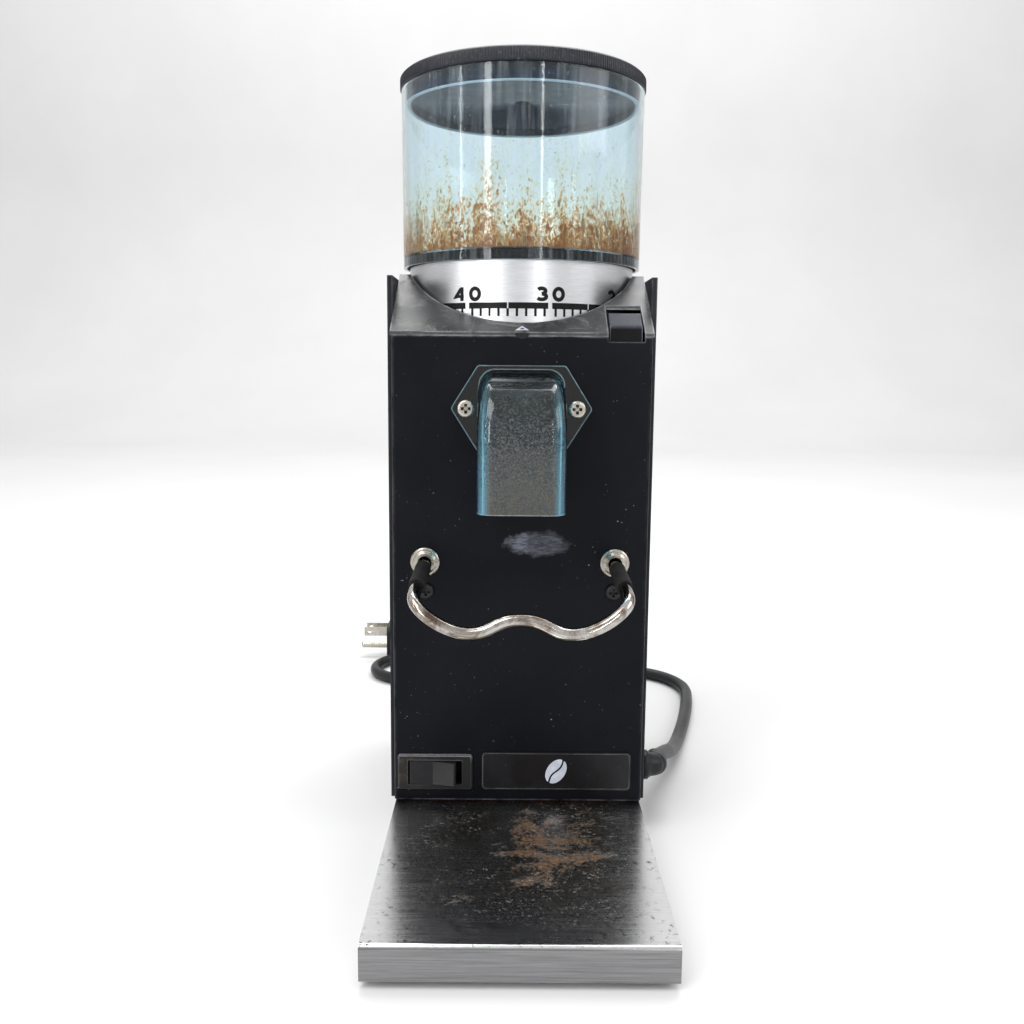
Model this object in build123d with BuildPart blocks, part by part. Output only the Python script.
from build123d import *
from math import pi, radians, tan
import os

os.makedirs("parts", exist_ok=True)

# ---- driving dimensions, mm: X right, Y back, Z up, origin under the middle of the grinder ----
depth = 250.0
height = 350.0
back = depth / 2
front = -depth / 2
floor_gap = 3.0
base_top = 16.4
base_half = 56.2
base_sheet = 1.2

panel_front = -5.0
panel_half = 57.0
panel_sheet = 1.5
panel_back = panel_front + panel_sheet
shell_half = 60.0
shell_wall = 2.4
shell_front = 8.0
shell_back = 123.4
shell_top = 254.8
skirt_bottom = 12.0

cover_half = 57.5
cover_top = 257.8
slope_foot = 230.0
slope_end = 37.6
slope_rise = (cover_top - slope_foot) / (slope_end - panel_front)
cover_foot = 228.2

axis_y = 57.5
well_radius = 55.8
well_wall = 1.2
collar_radius = 54.2
collar_bottom = 231.0
collar_top = 261.5
hopper_bottom = 261.7
hopper_top = 343.0
hopper_radius = 57.9
hopper_wall = 2.0
ring_top = 265.9
lid_radius = 58.5
lid_bottom = 343.4

chassis_bottom = 182.0
chassis_top = 185.0
chamber_top = 231.5
chamber_radius = 46.0
burr_radius = 25.0
burr_bore = 15.5
bolt_circle = 42.0
shaft_radius = 6.0
bearing_radius = 16.0
stator_radius = 40.0

chute_height = 197.0
chute_screw_x = 24.15
chute_flange = 3.0
gasket_sheet = 1.0
duct_half = 18.5
duct_wall = 2.6
duct_outlet = 154.5
duct_front = -42.0

fork_half = 42.5
fork_height = 128.3
fork_diameter = 5.2
fork_hole_radius = 2.9
washer_hole_radius = 3.1

switch_x = -38.15
switch_z = 30.05
rocker_tilt = 8.0

lever_left = 38.3
lever_front = -2.2
lever_right = 52.6
notch_left = 37.5
notch_right = 53.4
notch_bottom = 226.2
notch_back = 14.6
lever_pivot_y = 24.0
lever_pivot_z = 222.0
lever_pin_radius = 2.0

cord_diameter = 7.5
cord_floor = cord_diameter / 2
gland_point = (60.0, 17.5, 25.0)
coil_centre = (43.0, 296.0)
coil_radius = 38.0
plug_y = 284.0
plug_z = 13.0
plug_tail_x = -48.0
plug_face_x = -94.0

grind_axis = Axis((0, axis_y, 0), (0, 0, 1))
grind_plane = Plane(origin=(0, axis_y, 0), x_dir=(1, 0, 0), z_dir=(0, -1, 0))
side_plane = Plane.YZ


def turned(*outline):
    """A ring or disc turned about the grinder's upright axis from (radius, height) corners."""
    with BuildPart() as body:
        with BuildSketch(grind_plane):
            with BuildLine():
                Polyline(*outline, close=True)
            make_face()
        revolve(axis=grind_axis)
    return body.part


def tube_ring(inner, outer, low, high):
    """A plain ring about the grinder's upright axis."""
    return turned((inner, low), (outer, low), (outer, high), (inner, high))


def side_block(left, right, *outline):
    """A block between two X planes from (y, z) corners."""
    with BuildPart() as body:
        with BuildSketch(side_plane.offset(left)):
            with BuildLine():
                Polyline(*outline, close=True)
            make_face()
        extrude(amount=right - left)
    return body.part


def plain_box(low, high):
    """A box between two corners."""
    size = [b - a for a, b in zip(low, high)]
    middle = [(a + b) / 2 for a, b in zip(low, high)]
    with BuildPart() as body:
        with Locations(tuple(middle)):
            Box(*size)
    return body.part


def pan_screw(shank_radius, length, head_radius, head_height):
    """A cross-recessed pan-head screw: head on +Z, underside of the head at the origin."""
    with BuildPart() as screw:
        Cylinder(shank_radius, length, align=(Align.CENTER, Align.CENTER, Align.MAX))
        Cylinder(head_radius, head_height, align=(Align.CENTER, Align.CENTER, Align.MIN))
        top_edge = screw.edges().filter_by(GeomType.CIRCLE).sort_by(Axis.Z)[-1]
        fillet(top_edge, head_height * 0.45)
        with Locations((0, 0, head_height * 0.3)):
            Box(head_radius * 1.1, head_radius * 0.34, head_height, mode=Mode.SUBTRACT,
                align=(Align.CENTER, Align.CENTER, Align.MIN))
            Box(head_radius * 0.34, head_radius * 1.1, head_height, mode=Mode.SUBTRACT,
                align=(Align.CENTER, Align.CENTER, Align.MIN))
    return screw.part


def slope_at(y, drop=0.0):
    """Height of the sloped top at depth y, lowered by drop."""
    return slope_foot + (y - panel_front) * slope_rise - drop


def arc_radii(route):
    """Radius of the arc at each inner corner of a route, as large as the shorter run allows."""
    points = [Vector(*point) for point in route]
    radii = []
    for before, corner, after in zip(points, points[1:], points[2:]):
        turn = (corner - before).get_angle(after - corner)
        shorter = min((corner - before).length, (after - corner).length)
        radii.append(0.45 * shorter / tan(radians(turn) / 2))
    return radii


def cord_tube(route, name):
    """A round cord of straight runs and tangent arcs."""
    radii = arc_radii(route)
    print(name, "arc radii:", [round(radius, 1) for radius in radii])
    with BuildPart() as tube:
        with BuildLine() as path:
            FilletPolyline(*route, radius=radii)
        wire = path.wires()[0]
        with BuildSketch(Plane(origin=wire @ 0, z_dir=wire % 0)):
            Circle(cord_diameter / 2)
        sweep(path=wire)
    section = pi * cord_diameter ** 2 / 4
    print(name, "length", round(wire.length, 1),
          "volume ratio", round(tube.part.volume / (section * wire.length), 4))
    return tube.part


# ---- base: folded stainless pan with the drip tray in front ----
with BuildPart() as base_tray:
    with Locations((0, 0, floor_gap)):
        Box(2 * base_half, depth, base_top - floor_gap, align=(Align.CENTER, Align.CENTER, Align.MIN))
    fillet(base_tray.edges().filter_by(Axis.X).group_by(Axis.Z)[-1], 2.0)
    with Locations((0, 0, floor_gap)):
        Box(2 * (base_half - base_sheet), depth - 2 * base_sheet, base_top - floor_gap - base_sheet,
            align=(Align.CENTER, Align.CENTER, Align.MIN), mode=Mode.SUBTRACT)
base_tray.part.label = "base_tray"
export_step(base_tray.part, "parts/base_tray.step")

foot_places = [(x, y) for x in (-44, 44) for y in (front + 14, back - 14)]
weld_nut_low = base_top - base_sheet - 4
with BuildPart() as rubber_feet:
    with Locations(*[(x, y, 0) for x, y in foot_places]):
        Cone(8.0, 9.5, weld_nut_low, align=(Align.CENTER, Align.CENTER, Align.MIN))
        Cylinder(4.6, 4.0, align=(Align.CENTER, Align.CENTER, Align.MIN), mode=Mode.SUBTRACT)
        Cylinder(2.1, weld_nut_low, align=(Align.CENTER, Align.CENTER, Align.MIN), mode=Mode.SUBTRACT)
rubber_feet.part.label = "rubber_feet"
export_step(rubber_feet.part, "parts/rubber_feet.step")

with BuildPart() as weld_nuts:
    with BuildSketch(Plane.XY.offset(weld_nut_low)):
        with Locations(*foot_places):
            RegularPolygon(6.0, 6)
            Circle(2.1, mode=Mode.SUBTRACT)
    extrude(amount=4.0)
weld_nuts.part.label = "weld_nuts"
export_step(weld_nuts.part, "parts/weld_nuts.step")

foot_screw = Rotation(180, 0, 0) * pan_screw(2.0, 10.0, 4.0, 2.4)
with BuildPart() as foot_screws:
    with Locations(*[(x, y, 4.0) for x, y in foot_places]):
        add(foot_screw)
foot_screws.part.label = "foot_screws"
export_step(foot_screws.part, "parts/foot_screws.step")

# ---- casing: front panel, side-and-back shell, sloped top cover ----
spout_half = 19.0
spout_low = 186.0
spout_high = 209.0
bezel_half = (17.15, 8.45)
panel_holes = [(fork_half, fork_height, fork_hole_radius), (-fork_half, fork_height, fork_hole_radius),
               (42.0, 115.2, 1.7), (-42.0, 115.2, 1.7),
               (chute_screw_x, chute_height, 1.6), (-chute_screw_x, chute_height, 1.6)]
with BuildPart() as front_panel:
    add(plain_box((-panel_half, panel_front, base_top), (panel_half, shell_front + 2, cover_foot)))
    fillet(front_panel.edges().filter_by(Axis.Z).group_by(Axis.Y)[0], 1.2)
    add(plain_box((-panel_half + panel_sheet, panel_back, base_top),
                  (panel_half - panel_sheet, shell_front + 3, cover_foot)), mode=Mode.SUBTRACT)
    add(plain_box((-spout_half - 0.2, panel_front - 1, spout_low - 0.2),
                  (spout_half + 0.2, panel_back + 1, spout_high + 0.2)), mode=Mode.SUBTRACT)
    add(plain_box((switch_x - 14.2, panel_front - 1, switch_z - 6.8),
                  (switch_x + 14.2, panel_back + 1, switch_z + 6.8)), mode=Mode.SUBTRACT)
    add(plain_box((notch_left, panel_front - 1, notch_bottom),
                  (notch_right, panel_back + 1, cover_foot + 1)), mode=Mode.SUBTRACT)
    for hole_x, hole_z, hole_radius in panel_holes:
        with BuildSketch(Plane.XZ.offset(-panel_back - 1)):
            with Locations((hole_x, hole_z)):
                Circle(hole_radius)
        extrude(amount=panel_sheet + 3, mode=Mode.SUBTRACT)
front_panel.part.label = "front_panel"
export_step(front_panel.part, "parts/front_panel.step")

vent_rows = 7
back_screw_rows = (30, 240)
with BuildPart() as body_shell:
    add(plain_box((-shell_half, shell_front, base_top), (shell_half, shell_back, shell_top)))
    fillet(body_shell.edges().filter_by(Axis.Z).group_by(Axis.Y)[-1], 4.0)
    add(plain_box((-shell_half + shell_wall, shell_front - 1, base_top - 1),
                  (shell_half - shell_wall, shell_back - shell_wall, shell_top + 1)), mode=Mode.SUBTRACT)
    for side in (-1, 1):
        skirt = sorted((side * shell_half, side * (shell_half - shell_wall)))
        add(plain_box((skirt[0], shell_front, skirt_bottom), (skirt[1], shell_back - 4, base_top)))
    with BuildSketch(Plane.XZ.offset(-shell_back - 1)):
        with Locations((0, 100)):
            with GridLocations(44, 9, 2, vent_rows):
                SlotOverall(34, 4)
        with Locations(*[(x, z) for x in (-48, 48) for z in back_screw_rows]):
            Circle(1.9)
    extrude(amount=shell_wall + 2, mode=Mode.SUBTRACT)
    with BuildSketch(Plane.YZ.offset(shell_half - shell_wall - 1)):
        with Locations(gland_point[1:]):
            Circle(4.6)
    extrude(amount=shell_wall + 2, mode=Mode.SUBTRACT)
body_shell.part.label = "body_shell"
export_step(body_shell.part, "parts/body_shell.step")

back_screw = Rotation(-90, 0, 0) * pan_screw(1.8, 8.0, 3.6, back - shell_back)
with BuildPart() as shell_screws:
    with Locations(*[(x, shell_back, z) for x in (-48, 48) for z in back_screw_rows]):
        add(back_screw)
shell_screws.part.label = "shell_screws"
export_step(shell_screws.part, "parts/shell_screws.step")

cover_drop = 1.8
cover_inner = cover_top - 1.5
slope_plane = Plane(origin=(0, panel_front, slope_foot), x_dir=(1, 0, 0), z_dir=(0, -slope_rise, 1))
cover_lip = 247.0
with BuildPart() as top_cover:
    add(side_block(-cover_half, cover_half, (panel_front, cover_foot), (panel_front, slope_foot),
                   (slope_end, cover_top), (shell_back - shell_wall, cover_top),
                   (shell_back - shell_wall, cover_lip), (34.3, cover_lip), (5.6, cover_foot)))
    inner_back = shell_back - shell_wall - 1.5
    add(side_block(-cover_half + 1.5, cover_half - 1.5, (panel_back, cover_foot - 1),
                   (panel_back, slope_at(panel_back, cover_drop)), (38.1, cover_inner),
                   (inner_back, cover_inner), (inner_back, cover_lip - 1), (34.3, cover_lip - 1),
                   (5.6, cover_foot - 1)), mode=Mode.SUBTRACT)
    add(tube_ring(well_radius - 1, well_radius + well_wall, cover_foot, cover_top))
    add(side_block(-cover_half, cover_half, (-10, slope_at(-10)), (slope_end, cover_top),
                   (back, cover_top), (back, height), (-10, height)), mode=Mode.SUBTRACT)
    add(turned((0, 200), (well_radius, 200), (well_radius, height), (0, height)), mode=Mode.SUBTRACT)
    add(plain_box((notch_left, panel_front - 1, cover_foot - 1),
                  (notch_right, notch_back, cover_top)), mode=Mode.SUBTRACT)
    with BuildSketch(slope_plane):
        with BuildLine():
            Polyline((-3.0, 0.6), (3.0, 0.6), (0, 4.1), close=True)
        make_face()
    extrude(amount=0.6)
top_cover.part.label = "top_cover"
export_step(top_cover.part, "parts/top_cover.step")

with BuildPart() as name_plate:
    add(plain_box((-16.9, panel_front - 0.8, 21.6), (52.0, panel_front, 39.8)))
    fillet(name_plate.edges().filter_by(Axis.Y), 2.0)
name_plate.part.label = "name_plate"
export_step(name_plate.part, "parts/name_plate.step")

# ---- power switch: bezel, body, terminals and rocker ----
window = (12.4, 5.8)
with BuildPart() as switch_bezel:
    add(plain_box((switch_x - bezel_half[0], panel_front - 1.6, switch_z - bezel_half[1]),
                  (switch_x + bezel_half[0], panel_front, switch_z + bezel_half[1])))
    fillet(switch_bezel.edges().filter_by(Axis.Y), 1.5)
    chamfer(switch_bezel.faces().sort_by(Axis.Y)[0].edges(), 0.6)
    add(plain_box((switch_x - window[0], panel_front - 2, switch_z - window[1]),
                  (switch_x + window[0], panel_front + 1, switch_z + window[1])), mode=Mode.SUBTRACT)
switch_bezel.part.label = "switch_bezel"
export_step(switch_bezel.part, "parts/switch_bezel.step")

rocker_pivot_y = panel_front + 5.0
with BuildPart() as switch_body:
    add(plain_box((switch_x - 13.9, panel_front, switch_z - 6.7),
                  (switch_x + 13.9, panel_front + 24, switch_z + 6.7)))
    add(plain_box((switch_x - window[0], panel_front - 1, switch_z - window[1]),
                  (switch_x + window[0], rocker_pivot_y + 7, switch_z + window[1])), mode=Mode.SUBTRACT)
    with Locations((switch_x, rocker_pivot_y, switch_z)):
        Cylinder(1.5, 2 * window[1] + 1)
switch_body.part.label = "switch_body"
export_step(switch_body.part, "parts/switch_body.step")

with BuildPart() as switch_terminals:
    with Locations(*[(switch_x + x, panel_front + 29, switch_z) for x in (-9, 0, 9)]):
        Box(0.8, 10, 6.3)
switch_terminals.part.label = "switch_terminals"
export_step(switch_terminals.part, "parts/switch_terminals.step")

rocker_half = 10.9
rocker_tip = 8.4
rocker_middle = 7.0
rocker_place = Location((switch_x, rocker_pivot_y, switch_z), (0, 0, -rocker_tilt))
with BuildPart() as rocker_blank:
    with BuildSketch(Plane.XY.offset(-window[1] + 0.35)):
        with BuildLine():
            Polyline((-rocker_half, -rocker_tip), (0, -rocker_middle), (rocker_half, -rocker_tip),
                     (rocker_half - 0.6, -3.0), (4.0, 3.5), (-4.0, 3.5), (-rocker_half + 0.6, -3.0),
                     close=True)
        make_face()
        Circle(1.56, mode=Mode.SUBTRACT)
    extrude(amount=2 * window[1] - 0.7)
    fillet(rocker_blank.edges().filter_by(Axis.Z).group_by(Axis.Y)[0], 0.8)
with BuildPart() as switch_rocker:
    add(rocker_place * rocker_blank.part)
switch_rocker.part.label = "switch_rocker"
export_step(switch_rocker.part, "parts/switch_rocker.step")

# ---- coffee outlet: gasket, clear chute, screws ----
flange_points = [(-30.9, 197.0), (-19.15, 215.7), (19.15, 215.7), (30.9, 197.0),
                 (19.15, 178.3), (-19.15, 178.3)]
gasket_front = panel_front - gasket_sheet
flange_front = gasket_front - chute_flange
mouth = (16.0, 190.0, 206.5)


def flange_plate(start, thickness):
    """The six-sided flange plate standing forward from a Y plane."""
    with BuildPart() as plate:
        with BuildSketch(Plane.XZ.offset(-start)):
            with BuildLine():
                Polyline(*flange_points, close=True)
            make_face()
            with Locations((-chute_screw_x, chute_height), (chute_screw_x, chute_height)):
                Circle(1.7, mode=Mode.SUBTRACT)
        extrude(amount=thickness)
        upright = plate.edges().filter_by(Axis.Y).filter_by(GeomType.LINE)
        fillet(upright, 2.0)
    return plate.part


def duct_solid(shrink, start, low):
    """The downward elbow of the chute, shrunk by a wall where it is the passage."""
    top = 214.0 - shrink
    nose = duct_front + shrink
    rear = -13.0 - shrink
    with BuildPart() as duct:
        with BuildSketch(side_plane.offset(-duct_half + shrink)):
            with BuildLine():
                Line((start, top), (-17, top - 1.5))
                Bezier((-17, top - 1.5), (-33, top - 5), (nose - 0.5, top - 17), (nose, top - 31))
                Line((nose, top - 31), (nose + 2.0, low))
                Line((nose + 2.0, low), (rear, low))
                Line((rear, low), (rear, 176.0 + shrink))
                Line((rear, 176.0 + shrink), (start, 180.0 + shrink))
                Line((start, 180.0 + shrink), (start, top))
            make_face()
        extrude(amount=2 * (duct_half - shrink))
        outer_rows = [e for e in duct.edges()
                      if abs(abs(e.center().X) - (duct_half - shrink)) < 0.01
                      and e.center().Y < -20 and e.center().Z > low + 1]
        fillet(outer_rows, max(1.0, 7.0 - shrink))
    return duct.part


with BuildPart() as chute:
    add(flange_plate(gasket_front, chute_flange))
    add(duct_solid(0.0, flange_front + 0.5, duct_outlet))
    add(duct_solid(duct_wall, gasket_front + 1.0, duct_outlet - 3), mode=Mode.SUBTRACT)
chute.part.label = "chute"
export_step(chute.part, "parts/chute.step")

with BuildPart() as chute_gasket:
    add(flange_plate(panel_front, gasket_sheet))
    add(plain_box((-mouth[0], gasket_front - 1, mouth[1] - 1), (mouth[0], panel_front + 1, mouth[2] + 1)),
        mode=Mode.SUBTRACT)
chute_gasket.part.label = "chute_gasket"
export_step(chute_gasket.part, "parts/chute_gasket.step")

chute_screw = Rotation(90, 0, 0) * pan_screw(1.5, 9.0, 3.8, 2.4)
with BuildPart() as chute_screws:
    with Locations(*[(x, flange_front, chute_height) for x in (-chute_screw_x, chute_screw_x)]):
        add(chute_screw)
chute_screws.part.label = "chute_screws"
export_step(chute_screws.part, "parts/chute_screws.step")

# ---- holder fork ----
fork_right = [(fork_half, 1.0, fork_height), (fork_half, -55.0, 125.5), (37.5, -63.0, 121.0),
              (20.5, -67.5, 112.5), (8.5, -66.0, 116.0)]
fork_route = [(-x, y, z) for x, y, z in fork_right] + fork_right[::-1]
with BuildPart() as fork_rod:
    with BuildLine() as fork_line:
        FilletPolyline(*fork_route, radius=[6, 7, 9, 8, 8, 9, 7, 6])
    with BuildSketch(Plane(origin=fork_line.line @ 0, z_dir=fork_line.line % 0)):
        Circle(fork_diameter / 2)
    sweep(path=fork_line.line)
fork_rod.part.label = "fork_rod"
export_step(fork_rod.part, "parts/fork_rod.step")

sleeve_slope = (125.5 - fork_height) / -56.0
with BuildPart() as fork_sleeves:
    for side in (-fork_half, fork_half):
        sleeve_start = (side, -15.0, fork_height - sleeve_slope * 16.0)
        sleeve_way = (0, -1, -sleeve_slope)
        with BuildSketch(Plane(origin=sleeve_start, z_dir=sleeve_way)):
            Circle(3.5)
            Circle(fork_diameter / 2 + 0.05, mode=Mode.SUBTRACT)
        extrude(amount=31)
fork_sleeves.part.label = "fork_sleeves"
export_step(fork_sleeves.part, "parts/fork_sleeves.step")

with BuildPart() as fork_washers:
    for side in (-fork_half, fork_half):
        with BuildSketch(Plane.XZ.offset(-panel_front)):
            with Locations((side, fork_height)):
                Circle(6.5)
                Circle(washer_hole_radius, mode=Mode.SUBTRACT)
        extrude(amount=1.3)
        with BuildSketch(Plane.XZ.offset(-panel_front + 1.3)):
            with Locations((side, fork_height)):
                Circle(4.8)
                Circle(washer_hole_radius, mode=Mode.SUBTRACT)
        extrude(amount=1.6)
    rims = fork_washers.edges().filter_by(GeomType.CIRCLE)
    chamfer([e for e in rims if e.radius > 4.7 and e.center().Y < panel_front - 1.2], 0.5)
fork_washers.part.label = "fork_washers"
export_step(fork_washers.part, "parts/fork_washers.step")

with BuildPart() as fork_nuts:
    with BuildSketch(Plane.XZ.offset(-panel_back - 4.0)):
        with Locations((-fork_half, fork_height), (fork_half, fork_height)):
            RegularPolygon(5.0, 6)
            Circle(fork_hole_radius, mode=Mode.SUBTRACT)
    extrude(amount=4.0)
fork_nuts.part.label = "fork_nuts"
export_step(fork_nuts.part, "parts/fork_nuts.step")

fork_screw = Rotation(90, 0, 0) * pan_screw(1.6, 8.0, 3.5, 2.6)
with BuildPart() as fork_side_screws:
    with Locations((-42.0, panel_front, 115.2), (42.0, panel_front, 115.2)):
        add(fork_screw)
fork_side_screws.part.label = "fork_side_screws"
export_step(fork_side_screws.part, "parts/fork_side_screws.step")

# ---- chassis plate, grinding chamber and motor ----
with BuildPart() as chassis_plate:
    add(plain_box((-57.4, 10.4, chassis_bottom), (57.4, shell_back - shell_wall, chassis_top)))
    add(plain_box((-57.4, 12, chassis_bottom - 12), (-55.4, 118, chassis_bottom)))
    add(plain_box((55.4, 12, chassis_bottom - 12), (57.4, 118, chassis_bottom)))
    with BuildSketch(Plane.XY.offset(chassis_bottom)):
        with Locations((0, axis_y)):
            Circle(8)
            with PolarLocations(bolt_circle, 4, start_angle=45):
                Circle(2.1)
    extrude(amount=chassis_top - chassis_bottom, mode=Mode.SUBTRACT)
chassis_plate.part.label = "chassis_plate"
export_step(chassis_plate.part, "parts/chassis_plate.step")

with BuildPart() as grinding_chamber:
    add(turned((8, chassis_top), (chamber_radius, chassis_top), (chamber_radius, chamber_top),
               (38.3, chamber_top), (38.3, 212.5), (30, 212.5), (30, 189), (8, 189)))
    add(plain_box((-spout_half, panel_front, spout_low), (spout_half, 24, spout_high)))
    add(turned((0, 189), (30, 189), (30, 212.5), (0, 212.5)), mode=Mode.SUBTRACT)
    add(plain_box((-mouth[0], panel_front - 1, mouth[1]), (mouth[0], 40, mouth[2])), mode=Mode.SUBTRACT)
    with BuildSketch(Plane.XY.offset(chassis_top)):
        with Locations((0, axis_y)):
            with PolarLocations(bolt_circle, 4, start_angle=45):
                Circle(2.0)
    extrude(amount=14, mode=Mode.SUBTRACT)
grinding_chamber.part.label = "grinding_chamber"
export_step(grinding_chamber.part, "parts/grinding_chamber.step")

with BuildPart() as motor_upper_cap:
    add(turned((8, 170), (stator_radius, 170), (stator_radius, chassis_bottom), (8, chassis_bottom)))
    add(tube_ring(stator_radius - 3, stator_radius, 145, 170))
    with BuildSketch(Plane.XY.offset(170)):
        with Locations((0, axis_y)):
            with PolarLocations(bolt_circle, 4, start_angle=45):
                Circle(5)
    extrude(amount=chassis_bottom - 170)
    with BuildSketch(Plane.XY.offset(169)):
        with Locations((0, axis_y)):
            with PolarLocations(bolt_circle, 4, start_angle=45):
                Circle(2.0)
    extrude(amount=chassis_bottom - 168, mode=Mode.SUBTRACT)
    add(turned((0, 169), (bearing_radius, 169), (bearing_radius, 180), (0, 180)), mode=Mode.SUBTRACT)
motor_upper_cap.part.label = "motor_upper_cap"
export_step(motor_upper_cap.part, "parts/motor_upper_cap.step")

with BuildPart() as motor_lower_cap:
    add(turned((0, 50), (stator_radius, 50), (stator_radius, 95), (stator_radius - 3, 95),
               (stator_radius - 3, 66), (0, 66)))
    with BuildSketch(Plane.XY.offset(50)):
        with Locations((0, axis_y)):
            with PolarLocations(bolt_circle, 4, start_angle=45):
                Circle(5)
    extrude(amount=16)
    with BuildSketch(Plane.XY.offset(49)):
        with Locations((0, axis_y)):
            with PolarLocations(bolt_circle, 4, start_angle=45):
                Circle(2.0)
    extrude(amount=18, mode=Mode.SUBTRACT)
    add(turned((0, 55), (bearing_radius, 55), (bearing_radius, 67), (0, 67)), mode=Mode.SUBTRACT)
motor_lower_cap.part.label = "motor_lower_cap"
export_step(motor_lower_cap.part, "parts/motor_lower_cap.step")

slot_count = 18
with BuildPart() as motor_stator:
    add(tube_ring(27.2, stator_radius, 95, 145))
    with BuildSketch(Plane.XY.offset(95)):
        with Locations((0, axis_y)):
            with PolarLocations(31.5, slot_count):
                Rectangle(9, 3.4)
    extrude(amount=50, mode=Mode.SUBTRACT)
motor_stator.part.label = "motor_stator"
export_step(motor_stator.part, "parts/motor_stator.step")

with BuildPart() as motor_windings:
    with BuildSketch(Plane.XY.offset(95)):
        with Locations((0, axis_y)):
            with PolarLocations(32.5, slot_count):
                Rectangle(6.4, 3.2)
    extrude(amount=50)
    add(tube_ring(28.5, 36.5, 84, 95))
    add(tube_ring(28.5, 36.5, 145, 157))
motor_windings.part.label = "motor_windings"
export_step(motor_windings.part, "parts/motor_windings.step")

with BuildPart() as motor_bolts:
    motor_bolt = Rotation(180, 0, 0) * pan_screw(1.9, 147.0, 4.0, 3.0)
    with Locations((0, axis_y, 50)):
        with PolarLocations(bolt_circle, 4, start_angle=45):
            add(motor_bolt)
motor_bolts.part.label = "motor_bolts"
export_step(motor_bolts.part, "parts/motor_bolts.step")

bearing_lows = (56.0, 170.0)
bearing_width = 10.0
ball_radius = 2.15
with BuildPart() as bearing_outers:
    for low in bearing_lows:
        add(tube_ring(13.2, bearing_radius, low, low + bearing_width))
bearing_outers.part.label = "bearing_outers"
export_step(bearing_outers.part, "parts/bearing_outers.step")

with BuildPart() as bearing_inners:
    for low in bearing_lows:
        add(tube_ring(shaft_radius, 8.8, low, low + bearing_width))
bearing_inners.part.label = "bearing_inners"
export_step(bearing_inners.part, "parts/bearing_inners.step")

with BuildPart() as bearing_balls:
    for low in bearing_lows:
        with Locations((0, axis_y, low + bearing_width / 2)):
            with PolarLocations(11.0, 8):
                Sphere(ball_radius)
bearing_balls.part.label = "bearing_balls"
export_step(bearing_balls.part, "parts/bearing_balls.step")

with BuildPart() as motor_shaft:
    add(turned((0, 55.5), (shaft_radius, 55.5), (shaft_radius, 191), (4.0, 191), (4.0, 208), (0, 208)))
motor_shaft.part.label = "motor_shaft"
export_step(motor_shaft.part, "parts/motor_shaft.step")

with BuildPart() as motor_rotor:
    add(tube_ring(shaft_radius, 26.6, 96, 144))
    add(tube_ring(17, 25, 91, 96))
    add(tube_ring(17, 25, 144, 149))
motor_rotor.part.label = "motor_rotor"
export_step(motor_rotor.part, "parts/motor_rotor.step")

with BuildPart() as motor_fan:
    add(turned((shaft_radius, 68), (10, 68), (10, 80), (33, 80), (33, 82), (shaft_radius, 82)))
    with Locations((0, axis_y, 74.8)):
        with PolarLocations(21.0, 9):
            Box(23, 1.6, 11.4)
motor_fan.part.label = "motor_fan"
export_step(motor_fan.part, "parts/motor_fan.step")

# ---- burrs ----
burr_teeth = 24
lower_burr_low = 200.3
lower_burr_high = 206.6
upper_burr_low = 207.0
upper_burr_high = 213.0


def burr(low, high, tooth_z):
    """A flat ring burr with raking grooves cut in the face at tooth_z and three screw holes."""
    with BuildPart() as ring:
        add(tube_ring(burr_bore, burr_radius, low, high))
        with Locations((0, axis_y, tooth_z)):
            with PolarLocations(21.4, burr_teeth):
                Box(11, 1.1, 1.6, rotation=(0, 0, 24), mode=Mode.SUBTRACT)
        with Locations((0, axis_y, (low + high) / 2)):
            with PolarLocations(20.2, 3, start_angle=90):
                Cylinder(1.6, high - low + 2, mode=Mode.SUBTRACT)
    return ring.part


with BuildPart() as lower_burr_carrier:
    add(turned((shaft_radius - 2, 191), (26.5, 191), (26.5, lower_burr_low), (14.9, lower_burr_low),
               (14.9, 198), (shaft_radius - 2, 198)))
    with Locations((0, axis_y, 193)):
        with PolarLocations(27.4, 3):
            Box(3.6, 4, 4)
    with Locations((0, axis_y, lower_burr_low)):
        with PolarLocations(20.2, 3, start_angle=90):
            Cylinder(1.5, 14, mode=Mode.SUBTRACT)
lower_burr_carrier.part.label = "lower_burr_carrier"
export_step(lower_burr_carrier.part, "parts/lower_burr_carrier.step")

with BuildPart() as lower_burr:
    add(burr(lower_burr_low, lower_burr_high, lower_burr_high))
lower_burr.part.label = "lower_burr"
export_step(lower_burr.part, "parts/lower_burr.step")

with BuildPart() as lower_burr_screws:
    with Locations((0, axis_y, lower_burr_high - 5.5)):
        with PolarLocations(20.2, 3, start_angle=90):
            Cylinder(1.45, 9)
lower_burr_screws.part.label = "lower_burr_screws"
export_step(lower_burr_screws.part, "parts/lower_burr_screws.step")

with BuildPart() as carrier_nut:
    with BuildSketch(Plane.XY.offset(198)):
        with Locations((0, axis_y)):
            RegularPolygon(7.5, 6)
            Circle(4.0, mode=Mode.SUBTRACT)
    extrude(amount=6.5)
    chamfer(carrier_nut.faces().sort_by(Axis.Z)[-1].outer_wire().edges(), 0.7)
carrier_nut.part.label = "carrier_nut"
export_step(carrier_nut.part, "parts/carrier_nut.step")

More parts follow.
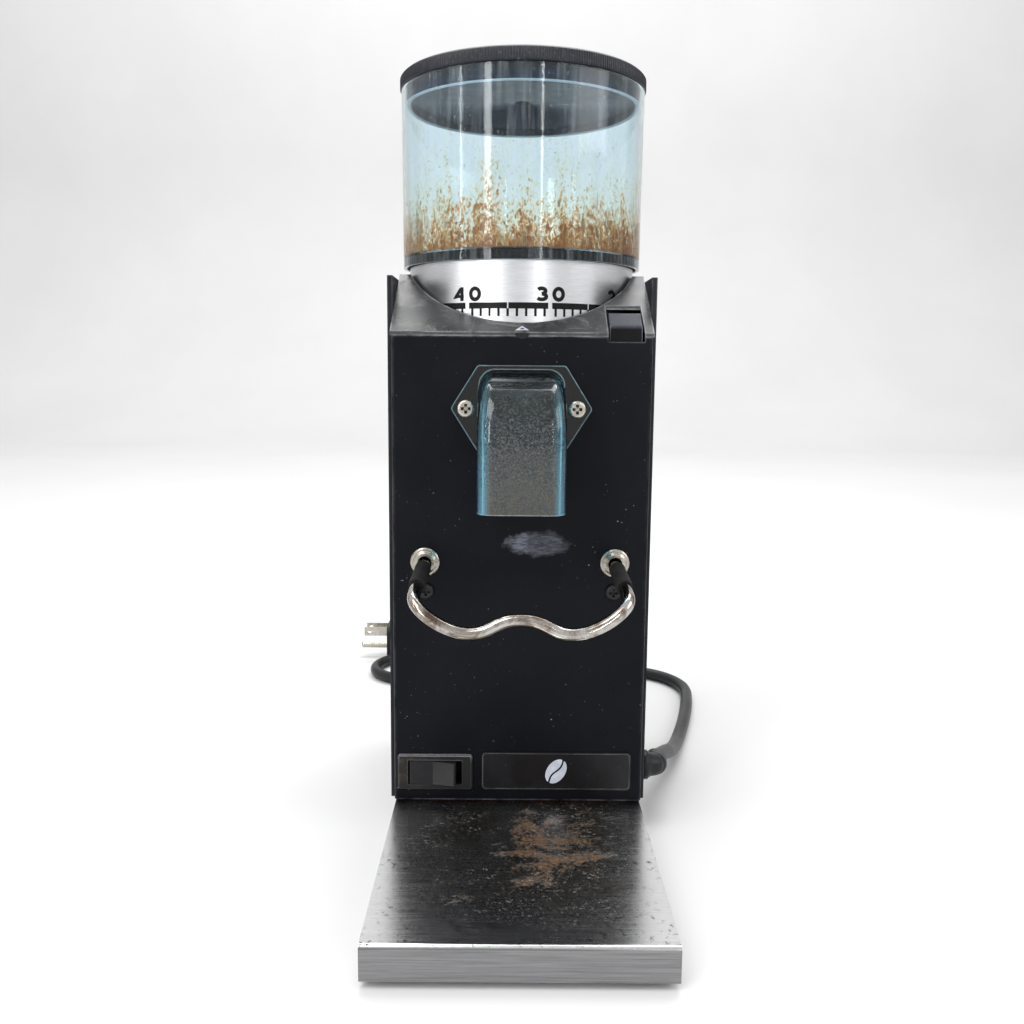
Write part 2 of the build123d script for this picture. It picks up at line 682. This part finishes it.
with BuildPart() as upper_burr_carrier:
    add(turned((16, upper_burr_high), (38.0, upper_burr_high), (38.0, 232.2), (50, 232.2), (50, 236),
               (27, 236), (27, 248), (24, 248), (24, 232), (16, 226)))
    with Locations((0, axis_y, upper_burr_high)):
        with PolarLocations(20.2, 3, start_angle=90):
            Cylinder(1.5, 14, mode=Mode.SUBTRACT)
    with Locations((0, axis_y, 234)):
        with PolarLocations(42, 3):
            Cylinder(2.0, 8, mode=Mode.SUBTRACT)
upper_burr_carrier.part.label = "upper_burr_carrier"
export_step(upper_burr_carrier.part, "parts/upper_burr_carrier.step")

with BuildPart() as upper_burr:
    add(burr(upper_burr_low, upper_burr_high, upper_burr_low))
upper_burr.part.label = "upper_burr"
export_step(upper_burr.part, "parts/upper_burr.step")

with BuildPart() as upper_burr_screws:
    with Locations((0, axis_y, upper_burr_low + 5.5)):
        with PolarLocations(20.2, 3, start_angle=90):
            Cylinder(1.45, 9)
upper_burr_screws.part.label = "upper_burr_screws"
export_step(upper_burr_screws.part, "parts/upper_burr_screws.step")

# ---- grind adjustment collar, hopper and lid ----
detents = 90
with BuildPart() as adjustment_collar:
    add(turned((50.3, collar_bottom), (collar_radius, collar_bottom), (collar_radius, collar_top),
               (50.3, collar_top), (50.3, 240), (28, 240), (28, 236), (50.3, 236)))
    with Locations((0, axis_y, collar_bottom)):
        with PolarLocations(52.3, detents):
            Box(6, 1.8, 2.0, mode=Mode.SUBTRACT)
    with Locations((0, axis_y, 238)):
        with PolarLocations(42, 3):
            Cylinder(2.1, 6, mode=Mode.SUBTRACT)
adjustment_collar.part.label = "adjustment_collar"
export_step(adjustment_collar.part, "parts/adjustment_collar.step")

with BuildPart() as collar_screws:
    collar_screw = pan_screw(1.9, 8.0, 4.0, 2.6)
    with Locations((0, axis_y, 240)):
        with PolarLocations(42, 3):
            add(collar_screw)
collar_screws.part.label = "collar_screws"
export_step(collar_screws.part, "parts/collar_screws.step")

ring_inner = 54.0
ring_outer = 55.7
with BuildPart() as hopper:
    add(turned((57.25, hopper_bottom), (hopper_radius, hopper_top), (hopper_radius - hopper_wall, hopper_top),
               (55.2, 267.3), (21.5, 250.5), (21.5, 241), (23.5, 241), (23.5, 248.6), (49.5, 259.7),
               (49.5, hopper_bottom), (ring_inner, hopper_bottom), (ring_inner, ring_top),
               (ring_outer, ring_top), (ring_outer, hopper_bottom)))
hopper.part.label = "hopper"
export_step(hopper.part, "parts/hopper.step")

with BuildPart() as hopper_ring:
    add(tube_ring(ring_inner, ring_outer, hopper_bottom, ring_top))
hopper_ring.part.label = "hopper_ring"
export_step(hopper_ring.part, "parts/hopper_ring.step")

with BuildPart() as finger_guard:
    add(tube_ring(19.4, 21.5, 241, 245))
    add(plain_box((-19.8, axis_y - 1.5, 241), (19.8, axis_y + 1.5, 245)))
finger_guard.part.label = "finger_guard"
export_step(finger_guard.part, "parts/finger_guard.step")

with BuildPart() as hopper_lid:
    add(turned((0, height), (56.8, height), (lid_radius, height - 1.6), (lid_radius, lid_bottom),
               (55.4, lid_bottom), (55.4, 336), (53.6, 336), (53.6, 340), (4, 340), (4, 341.5), (0, 341.5)))
hopper_lid.part.label = "hopper_lid"
export_step(hopper_lid.part, "parts/hopper_lid.step")

# ---- collar lock: lever, pin, bracket, spring ----
with BuildPart() as lock_lever:
    add(side_block(lever_left, lever_right, (lever_front, 224), (lever_front, 233.2), (5.5, 239.5),
                   (7.5, 224)))
    lever_tops = [e for e in lock_lever.edges() if e.center().Z > 233 and e.length > 8]
    fillet(lever_tops, 0.7)
    add(plain_box((40.2, lever_front, 220), (50.4, lever_pivot_y, 224.2)))
    add(plain_box((30.0, 14.5, 220), (41.0, 17.8, 224.2)))
    add(plain_box((30.4, 14.9, 224), (33.0, 17.4, 230.5)))
    with BuildSketch(Plane.YZ.offset(40.2)):
        with Locations((lever_pivot_y, lever_pivot_z)):
            Circle(4.0)
    extrude(amount=10.2)
    with BuildSketch(Plane.YZ.offset(39)):
        with Locations((lever_pivot_y, lever_pivot_z)):
            Circle(lever_pin_radius + 0.05)
    extrude(amount=14, mode=Mode.SUBTRACT)
lock_lever.part.label = "lock_lever"
export_step(lock_lever.part, "parts/lock_lever.step")

with BuildPart() as lock_pin:
    with BuildSketch(Plane.YZ.offset(36.4)):
        with Locations((lever_pivot_y, lever_pivot_z)):
            Circle(lever_pin_radius)
    extrude(amount=17.8)
lock_pin.part.label = "lock_pin"
export_step(lock_pin.part, "parts/lock_pin.step")

with BuildPart() as lock_bracket:
    add(plain_box((37.4, 20, chassis_top), (53.2, 27.5, chassis_top + 2)))
    add(plain_box((37.4, 20, chassis_top), (39.4, 27.5, 227)))
    add(plain_box((51.2, 20, chassis_top), (53.2, 27.5, 227)))
    with BuildSketch(Plane.YZ.offset(36)):
        with Locations((lever_pivot_y, lever_pivot_z)):
            Circle(lever_pin_radius)
    extrude(amount=19, mode=Mode.SUBTRACT)
lock_bracket.part.label = "lock_bracket"
export_step(lock_bracket.part, "parts/lock_bracket.step")

spring_radius = 3.6
spring_height = 33.6
with BuildPart() as lock_spring:
    with BuildLine(Plane.XY.offset(chassis_top + 0.6)) as spring_line:
        Helix(spring_height / 9, spring_height, spring_radius)
    with BuildSketch(Plane(origin=spring_line.line @ 0, z_dir=spring_line.line % 0)):
        Circle(0.5)
    sweep(path=spring_line.line, is_frenet=True)
lock_spring.part = lock_spring.part.moved(Location((45.3, 8.0, 0)))
lock_spring.part.label = "lock_spring"
export_step(lock_spring.part, "parts/lock_spring.step")

# ---- electrical parts on the base ----
with BuildPart() as capacitor:
    with BuildSketch(Plane.XZ.offset(-42)):
        with Locations((-34, 31.5)):
            Circle(14)
    extrude(amount=-58)
    fillet(capacitor.edges().filter_by(GeomType.CIRCLE), 1.5)
capacitor.part.label = "capacitor"
export_step(capacitor.part, "parts/capacitor.step")

with BuildPart() as capacitor_clip:
    with BuildSketch(Plane.XZ.offset(-64)):
        with Locations((-34, 31.5)):
            Circle(15.2)
        with Locations((-34, base_top)):
            Rectangle(44, 1.6, align=(Align.CENTER, Align.MIN))
        with Locations((-34, 31.5)):
            Circle(14, mode=Mode.SUBTRACT)
        with Locations((-34, 0)):
            Rectangle(60, base_top, align=(Align.CENTER, Align.MIN), mode=Mode.SUBTRACT)
    extrude(amount=-14)
capacitor_clip.part.label = "capacitor_clip"
export_step(capacitor_clip.part, "parts/capacitor_clip.step")

with BuildPart() as terminal_block:
    add(plain_box((20, 30, base_top), (44, 66, base_top + 14)))
    with BuildSketch(Plane.XY.offset(base_top + 14)):
        with Locations((32, 48)):
            with GridLocations(12, 11, 2, 3):
                Circle(2.4)
    extrude(amount=-6, mode=Mode.SUBTRACT)
terminal_block.part.label = "terminal_block"
export_step(terminal_block.part, "parts/terminal_block.step")

# ---- mains lead: strain relief, cord, stored coil and plug ----
boot_end = (69.5, 37.5, 20.5)
boot_way = Vector(*boot_end) - Vector(61.5, 17.5, 25.0)
with BuildPart() as cord_gland:
    with BuildSketch(Plane.YZ.offset(shell_half)):
        with Locations(gland_point[1:]):
            Circle(7.0)
    extrude(amount=3.5)
    boot_plane = Plane(origin=(61.5, 17.5, 25.0), z_dir=boot_way)
    with BuildSketch(boot_plane.offset(1.0)):
        Circle(6.0)
    with BuildSketch(boot_plane.offset(boot_way.length)):
        Circle(4.6)
    loft()
    add(plain_box((40, 0, 0), (shell_half, 60, 50)), mode=Mode.SUBTRACT)
    with BuildSketch(Plane.YZ.offset(54.0)):
        with Locations(gland_point[1:]):
            Circle(4.5)
    extrude(amount=shell_half - 54.0)
cord_gland.part.label = "cord_gland"
export_step(cord_gland.part, "parts/cord_gland.step")

cord_route = [boot_end, (76.0, 53.75, 16.84), (85.5, 80.0, 8.2), (94.0, 110.0, cord_floor),
              (103.5, 145.0, cord_floor), (110.0, 175.0, cord_floor), (113.5, 199.0, cord_floor),
              (109.1, 215.9, cord_floor), (98.6, 229.9, cord_floor), (83.5, 238.8, cord_floor),
              (66.2, 241.3, cord_floor), (41.0, 234.9, cord_floor), (10.0, 223.0, cord_floor),
              (-24.0, 214.5, cord_floor), (-60.0, 214.5, cord_floor), (-78.2, 215.5, cord_floor),
              (-90.8, 222.7, cord_floor), (-98.0, 235.3, cord_floor), (-98.0, 249.7, cord_floor),
              (-90.8, 262.3, cord_floor), (-78.2, 269.5, cord_floor), (-62.0, 269.5, cord_floor),
              (-42.0, 264.5, cord_floor), (-16.0, 258.5, cord_floor), (12.0, 254.8, cord_floor),
              (40.0, 254.3, cord_floor)]
with BuildPart() as power_cord:
    add(cord_tube(cord_route, "power_cord"))
power_cord.part.label = "power_cord"
export_step(power_cord.part, "parts/power_cord.step")

with BuildPart() as cord_coil:
    with BuildSketch(Plane(origin=(*coil_centre, 0), x_dir=(1, 0, 0), z_dir=(0, -1, 0))):
        with Locations((coil_radius, 7.2)):
            RectangleRounded(2 * cord_diameter, 14.4, 3.6)
    revolve(axis=Axis((*coil_centre, 0), (0, 0, 1)))
cord_coil.part.label = "cord_coil"
export_step(cord_coil.part, "parts/cord_coil.step")

tail_route = [(16.1, 322.9, 10.8), (-5.5, 301.5, 11.4), (-21.5, 289.5, 12.2), (-34.0, 285.2, 12.8),
              (plug_tail_x, plug_y, plug_z)]
with BuildPart() as cord_tail:
    add(cord_tube(tail_route, "cord_tail"))
cord_tail.part.label = "cord_tail"
export_step(cord_tail.part, "parts/cord_tail.step")

plug_sections = [(0.0, 5.2, 5.2), (14.0, 6.2, 6.2), (22.0, 10.5, 11.5), (34.0, 12.2, 12.8),
                 (plug_tail_x - plug_face_x, 12.2, 12.8)]
with BuildPart() as plug_body:
    for reach, half_width, half_height in plug_sections:
        with BuildSketch(Plane(origin=(plug_tail_x - reach, plug_y, plug_z), x_dir=(0, 1, 0),
                               z_dir=(-1, 0, 0))):
            RectangleRounded(2 * half_width, 2 * half_height, 5.0)
    loft(ruled=True)
plug_body.part.label = "plug_body"
export_step(plug_body.part, "parts/plug_body.step")

with BuildPart() as plug_blades:
    for blade_y in (plug_y - 6.35, plug_y + 6.35):
        add(plain_box((plug_face_x - 17, blade_y - 0.75, 17.5), (plug_face_x, blade_y + 0.75, 23.8)))
        with Locations((plug_face_x - 13.5, blade_y, 20.6)):
            Cylinder(1.6, 4, rotation=(90, 0, 0), mode=Mode.SUBTRACT)
    with BuildSketch(Plane(origin=(plug_face_x, plug_y, 9.0), z_dir=(-1, 0, 0))):
        Circle(2.4)
    extrude(amount=20)
    fillet(plug_blades.edges().filter_by(GeomType.CIRCLE).sort_by(Axis.X)[0], 1.5)
plug_blades.part.label = "plug_blades"
export_step(plug_blades.part, "parts/plug_blades.step")
